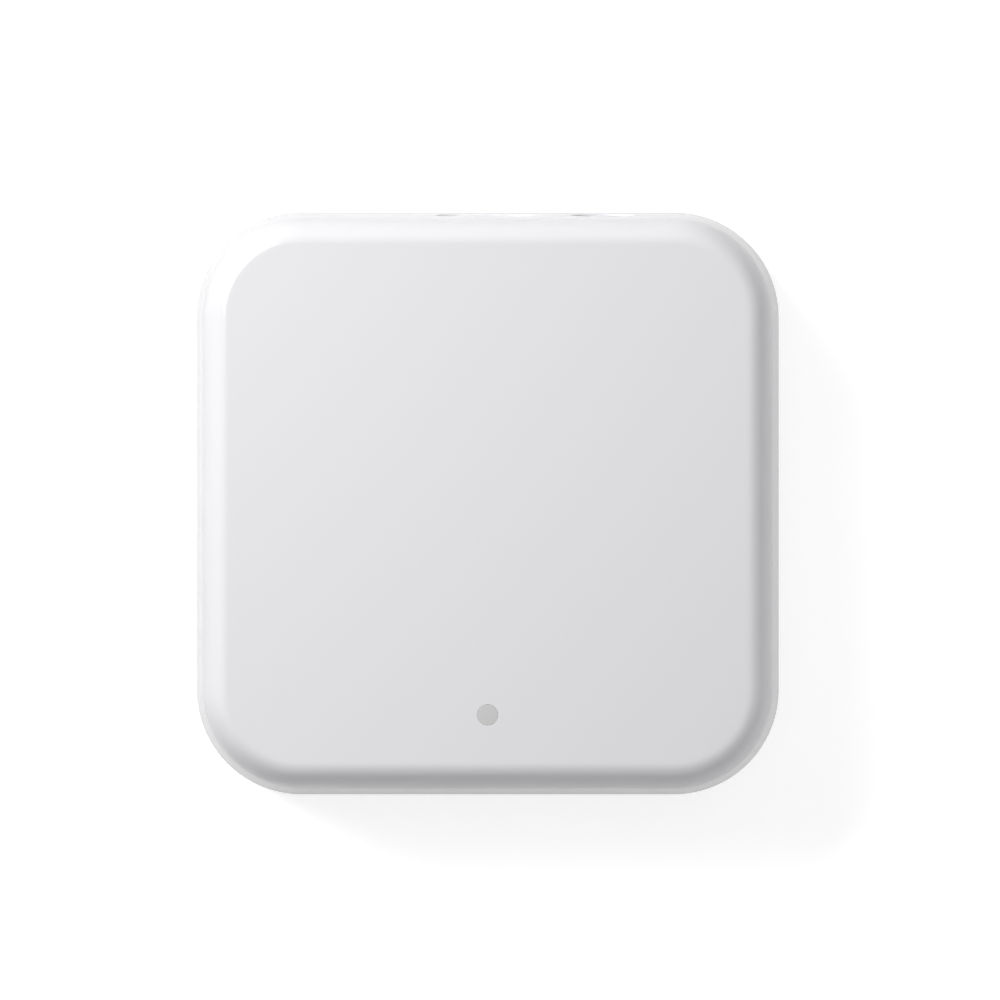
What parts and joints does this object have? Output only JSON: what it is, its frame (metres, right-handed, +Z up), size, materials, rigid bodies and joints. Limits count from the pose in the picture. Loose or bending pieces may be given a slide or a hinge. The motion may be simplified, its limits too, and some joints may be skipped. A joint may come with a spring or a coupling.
{
  "type": "smart home hub",
  "caption": "Square white desk-top hub with rounded edges, a status light in its face, and a rear power inlet and push-button; takes apart into covers, board, modules and switch.",
  "frame": {"origin": "centre of the footprint, on the surface that the four feet stand on", "axes": "+Z up through the face; -Y towards the status light; +Y out of the wall with the power inlet and the reset button; +X to the right seen from above with the status light nearest"},
  "size_m": [0.07, 0.07, 0.026],
  "materials": {
    "cover_white": "glossy injection-moulded white plastic",
    "base_white": "fine-textured injection-moulded white plastic",
    "label_film": "plain polyester film, no print",
    "foot_rubber": "moulded rubber",
    "screw_steel": "zinc-plated steel",
    "light_guide": "diffusing moulded plastic",
    "shroud_black": "moulded black plastic",
    "led_white": "moulded ivory plastic",
    "led_resin": "cast yellow resin",
    "board_laminate": "green solder mask on glass-epoxy laminate",
    "module_laminate": "dark solder mask on glass-epoxy laminate",
    "chip_black": "moulded black epoxy",
    "shield_steel": "tin-plated drawn steel",
    "trace_gold": "gold-plated copper",
    "inlet_steel": "nickel-plated drawn steel",
    "insulator_black": "moulded black plastic",
    "contact_gold": "gold-plated copper alloy",
    "button_white": "moulded white plastic",
    "switch_black": "moulded black plastic",
    "spring_steel": "rolled stainless spring steel",
    "stem_grey": "moulded grey plastic",
    "lead_tin": "tin-plated copper alloy",
    "ferrite_grey": "pressed ferrite",
    "can_aluminium": "drawn aluminium",
    "ceramic_tan": "fired ceramic"
  },
  "bodies": {
    "hub": {"top_cover": "cover_white", "bottom_cover": "base_white", "rating_label": "label_film", "front_left_foot": "foot_rubber", "front_right_foot": "foot_rubber", "rear_left_foot": "foot_rubber", "rear_right_foot": "foot_rubber", "case_screws": "screw_steel", "light_pipe": "light_guide", "light_shroud": "shroud_black", "status_led_body": "led_white", "status_led_lens": "led_resin", "main_board": "board_laminate", "board_screws": "screw_steel", "wlan_module_board": "module_laminate", "wlan_module_chip": "chip_black", "wlan_module_shield": "shield_steel", "wlan_antenna_trace": "trace_gold", "mesh_module_board": "module_laminate", "mesh_module_chip": "chip_black", "mesh_module_shield": "shield_steel", "mesh_antenna_trace": "trace_gold", "inlet_shell": "inlet_steel", "inlet_insulator": "insulator_black", "inlet_contacts": "contact_gold", "reset_switch_housing": "switch_black", "reset_switch_plate": "spring_steel", "reset_switch_terminals": "lead_tin", "reset_switch_dome": "spring_steel", "voltage_regulator": "chip_black", "regulator_leads": "lead_tin", "power_inductor": "ferrite_grey", "inductor_terminals": "lead_tin", "bulk_capacitor_cans": "can_aluminium", "bulk_capacitor_bases": "chip_black", "surge_suppressor": "chip_black", "suppressor_leads": "lead_tin", "processor": "chip_black", "memory_chip": "chip_black", "memory_leads": "lead_tin", "clock_crystal": "shield_steel", "chip_capacitors": "ceramic_tan", "chip_resistors": "chip_black", "chip_terminals": "lead_tin"},
    "reset_button": {"reset_button": "button_white", "reset_switch_stem": "stem_grey"}
  },
  "joints": [
    {"name": "reset_button_travel", "type": "slide", "parent": "hub", "child": "reset_button", "axis": [0, -1, 0], "range_m": [0, 0.0003], "stiffness_N_per_m": 6500, "deforming": ["reset_switch_dome"]}
  ]
}
